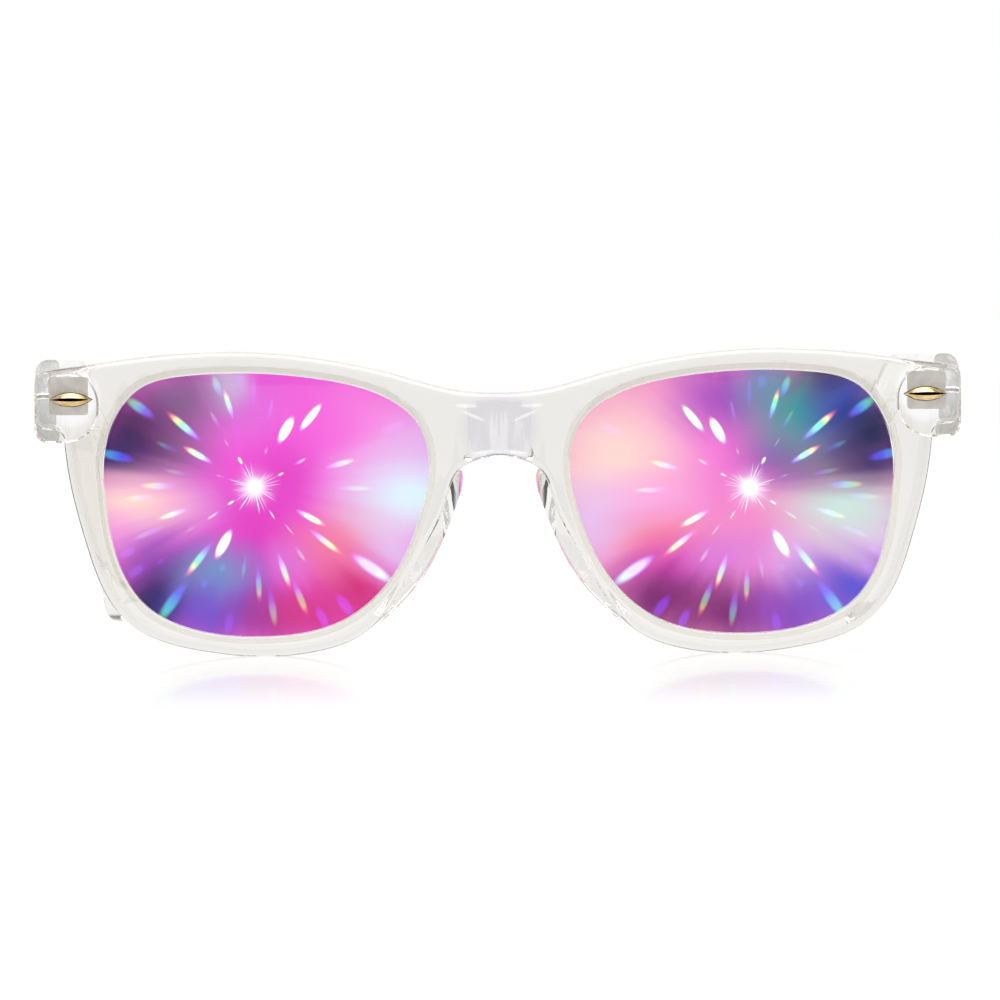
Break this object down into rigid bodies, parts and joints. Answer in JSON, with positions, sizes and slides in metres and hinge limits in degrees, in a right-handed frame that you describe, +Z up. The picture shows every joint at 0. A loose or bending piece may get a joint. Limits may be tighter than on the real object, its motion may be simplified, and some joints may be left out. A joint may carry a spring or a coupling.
{
  "type": "diffraction glasses",
  "caption": "Clear moulded glasses with diffraction film lenses that turn points of light into starbursts, on folding temples with barrel hinges.",
  "frame": {"origin": "on the surface that the open glasses stand on, below the middle of their bounding box", "axes": "+Z up, -Y the way the wearer looks, +X to the wearer's left"},
  "size_m": [0.1454, 0.1423, 0.0476],
  "materials": {
    "clear_plastic": "polished",
    "lens_plastic": "polished",
    "film": "diffraction grating",
    "gold_plate": "gold plated",
    "hinge_metal": "gold plated",
    "screw_steel": "plain"
  },
  "bodies": {
    "front": {"front_frame": "clear_plastic", "lens_left": "lens_plastic", "lens_right": "lens_plastic", "diffraction_film_left": "film", "diffraction_film_right": "film", "endpiece_ornament_left": "gold_plate", "endpiece_ornament_right": "gold_plate", "front_hinge_leaf_left": "hinge_metal", "front_hinge_leaf_right": "hinge_metal", "hinge_screw_left": "screw_steel", "hinge_screw_right": "screw_steel"},
    "temple_left": {"temple_left": "clear_plastic", "temple_hinge_leaf_left": "hinge_metal", "temple_rivets_left": "hinge_metal"},
    "temple_right": {"temple_right": "clear_plastic", "temple_hinge_leaf_right": "hinge_metal", "temple_rivets_right": "hinge_metal"}
  },
  "joints": [
    {"name": "left_temple_fold", "type": "hinge", "parent": "front", "child": "temple_left", "pos_m": [0.0674, -0.05666, 0.04073], "axis": [0, 0, 1], "range_deg": [0, 87]},
    {"name": "right_temple_fold", "type": "hinge", "parent": "front", "child": "temple_right", "pos_m": [-0.0674, -0.05666, 0.04073], "axis": [0, 0, -1], "range_deg": [0, 81]}
  ]
}
